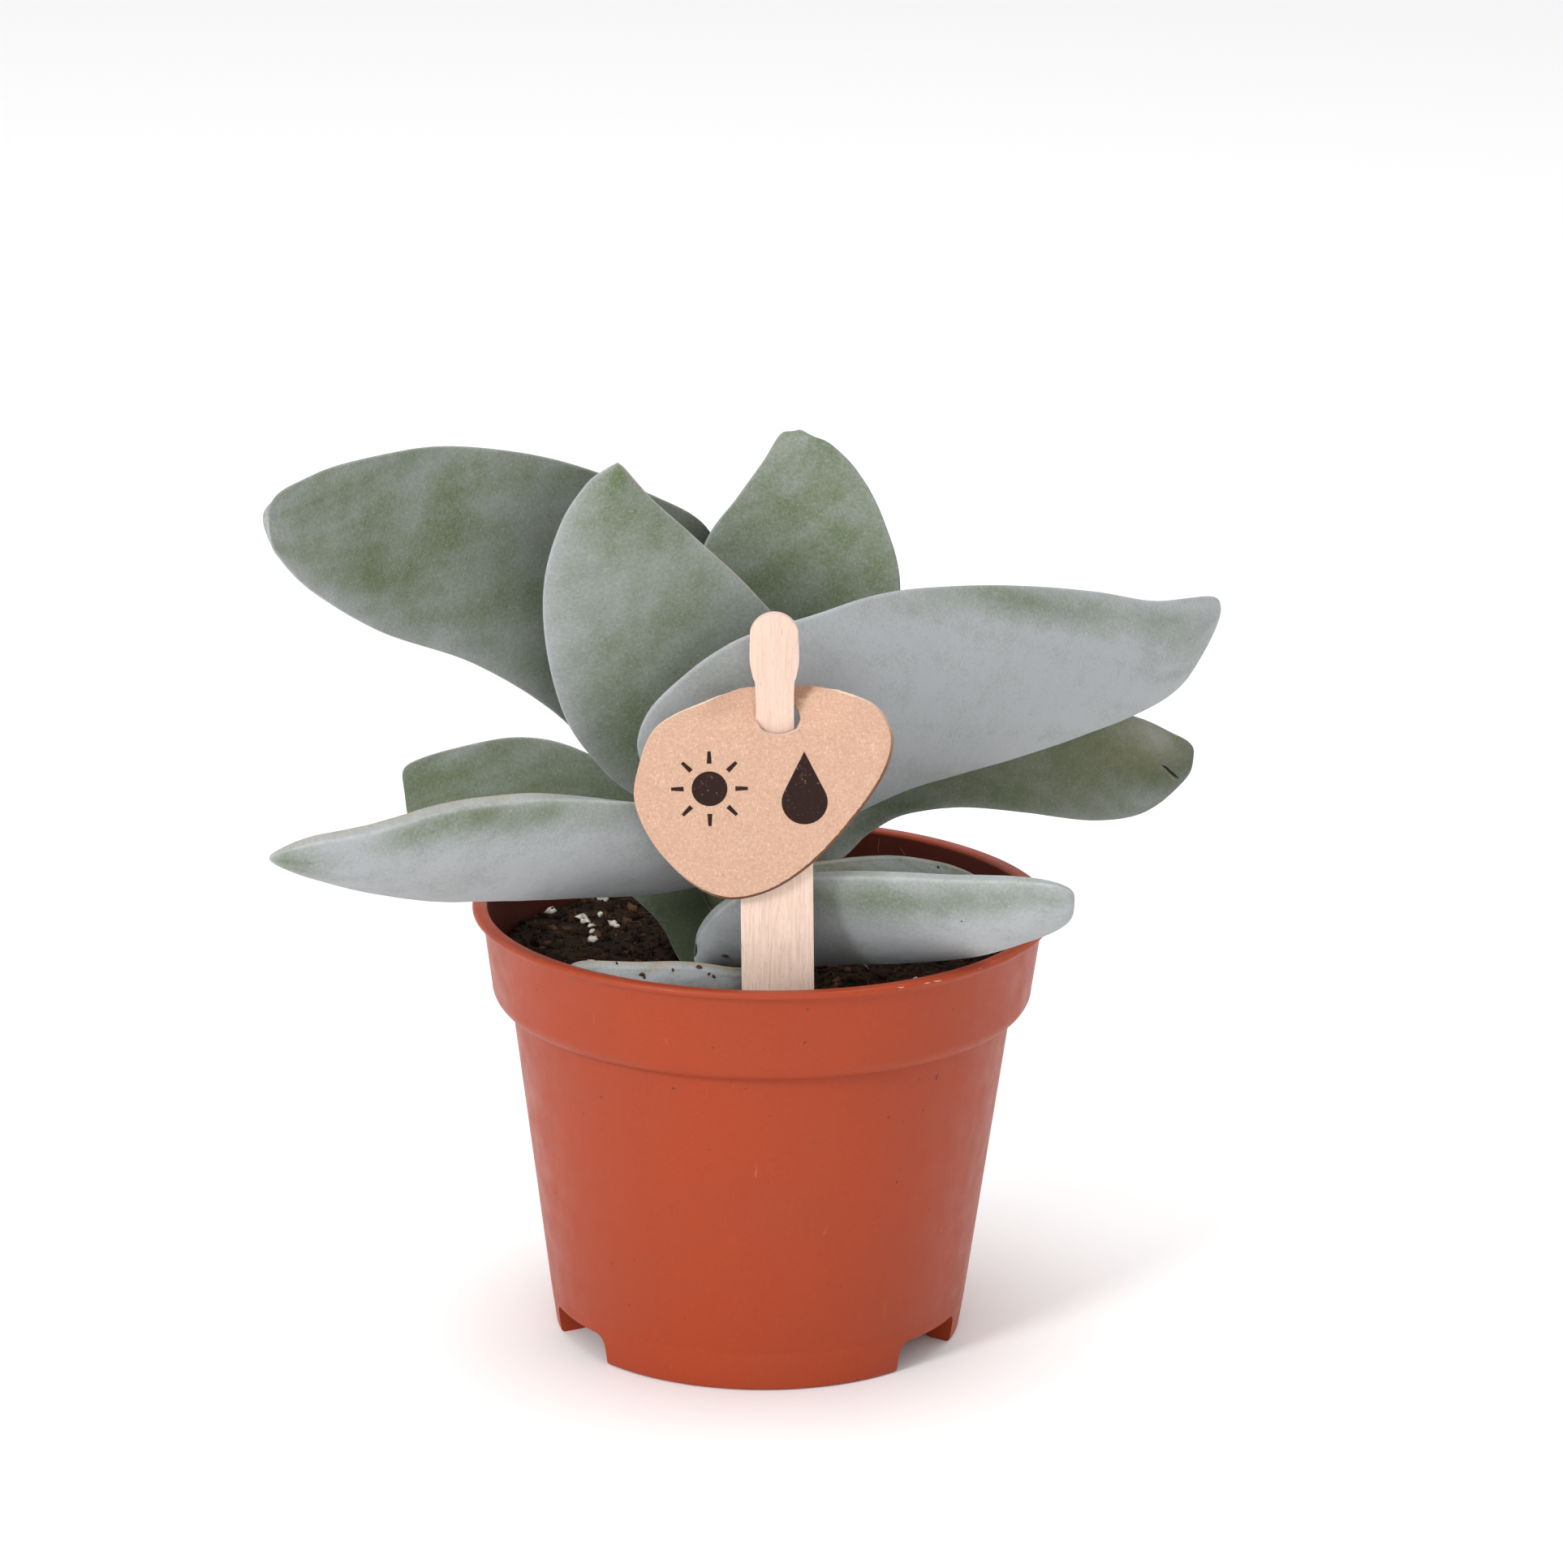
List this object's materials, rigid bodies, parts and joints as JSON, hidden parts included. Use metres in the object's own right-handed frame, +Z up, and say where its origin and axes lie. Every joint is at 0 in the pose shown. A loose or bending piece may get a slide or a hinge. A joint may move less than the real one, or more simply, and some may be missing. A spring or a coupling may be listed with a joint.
{
  "type": "potted crassula",
  "caption": "Sickle-leaved grey-green succulent growing in a thin terracotta-coloured nursery pot, with a blank card tag hung on a wooden label stick.",
  "frame": {"origin": "on the pot's axis at the bottom of its foot ring, which is the middle of the overall box's base to within 1 mm", "axes": "+Z up along the pot's axis, -Y towards the front, where the label is, +X to the right as seen from the front"},
  "size_m": [0.171, 0.1194, 0.171],
  "materials": {
    "pot_shell": "satin moulded polypropylene, terracotta colour",
    "peat": "rough, crumbly peat compost",
    "stem_skin": "matte green succulent stem",
    "leaf_skin": "matte, grey-green skin with a waxy bloom",
    "birch": "bare planed birch",
    "kraft_card": "uncoated kraft card"
  },
  "bodies": {
    "root": {"pot": "pot_shell", "soil": "peat", "stem": "stem_skin", "leaf_upper_left": "leaf_skin", "leaf_centre_left": "leaf_skin", "leaf_centre_right": "leaf_skin", "leaf_upper_right": "leaf_skin", "leaf_lower_right": "leaf_skin", "leaf_lower_left": "leaf_skin", "leaf_front_left": "leaf_skin", "leaf_front_right": "leaf_skin", "leaf_inner_right": "leaf_skin", "leaf_soil_front": "leaf_skin", "label_stick": "birch", "label_tag": "kraft_card"}
  },
  "joints": []
}
